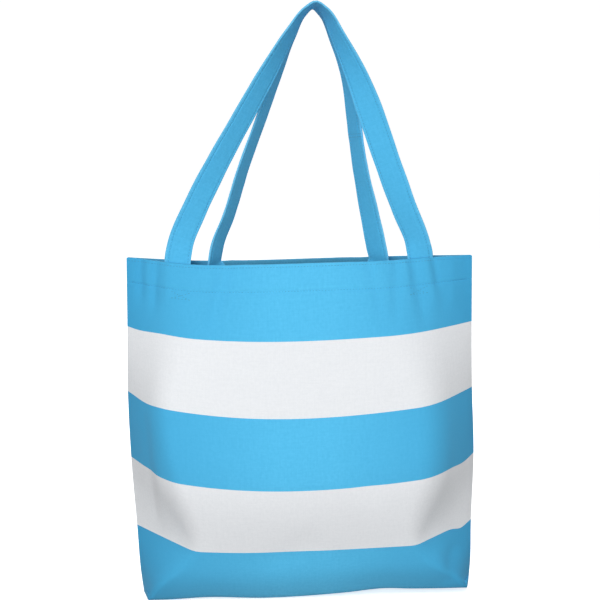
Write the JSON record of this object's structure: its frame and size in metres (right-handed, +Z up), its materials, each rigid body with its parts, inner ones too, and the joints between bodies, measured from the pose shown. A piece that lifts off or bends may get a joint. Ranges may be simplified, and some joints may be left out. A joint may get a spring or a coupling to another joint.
{
  "type": "canvas tote bag",
  "caption": "Open-topped striped canvas tote bag with a filled-out body, a hemmed rim and shoulder handles held up together.",
  "frame": {"origin": "middle of the flat base, at the bottom of the bounding box", "axes": "+Z up towards the handles, +X along the width, -Y is the front face"},
  "size_m": [0.4048, 0.15, 0.6873],
  "materials": {
    "canvas_blue": "matt sky-blue cotton canvas",
    "canvas_white": "matt white cotton canvas",
    "strap_blue": "folded and stitched blue canvas strap",
    "thread_blue": "blue sewing thread",
    "tape_blue": "blue binding tape inside the seams"
  },
  "bodies": {
    "bag": {"front_band_blue_bottom": "canvas_blue", "front_band_white_lower": "canvas_white", "front_band_blue_middle": "canvas_blue", "front_band_white_upper": "canvas_white", "front_band_blue_top": "canvas_blue", "back_band_blue_bottom": "canvas_blue", "back_band_white_lower": "canvas_white", "back_band_blue_middle": "canvas_blue", "back_band_white_upper": "canvas_white", "back_band_blue_top": "canvas_blue", "front_hem_facing": "canvas_blue", "front_hem_thread_upper": "thread_blue", "front_hem_thread_lower": "thread_blue", "front_base_seam_tape": "tape_blue", "front_handle_end_left": "strap_blue", "front_end_stitch_left": "thread_blue", "front_handle_end_right": "strap_blue", "front_end_stitch_right": "thread_blue", "back_hem_facing": "canvas_blue", "back_hem_thread_upper": "thread_blue", "back_hem_thread_lower": "thread_blue", "back_base_seam_tape": "tape_blue", "back_handle_end_left": "strap_blue", "back_end_stitch_left": "thread_blue", "back_handle_end_right": "strap_blue", "back_end_stitch_right": "thread_blue", "base_panel": "canvas_blue", "left_side_seam_tape": "tape_blue", "right_side_seam_tape": "tape_blue"},
    "front_handle": {"front_handle_strap": "strap_blue", "front_handle_thread_outer": "thread_blue", "front_handle_thread_inner": "thread_blue"},
    "back_handle": {"back_handle_strap": "strap_blue", "back_handle_thread_outer": "thread_blue", "back_handle_thread_inner": "thread_blue"}
  },
  "joints": [
    {"name": "front_handle_fold", "type": "hinge", "parent": "bag", "child": "front_handle", "pos_m": [0, -0.0092, 0.4132], "axis": [1, 0, 0], "range_deg": [0, 140]},
    {"name": "back_handle_fold", "type": "hinge", "parent": "bag", "child": "back_handle", "pos_m": [0, 0.0148, 0.4092], "axis": [-1, 0, 0], "range_deg": [0, 140]}
  ]
}
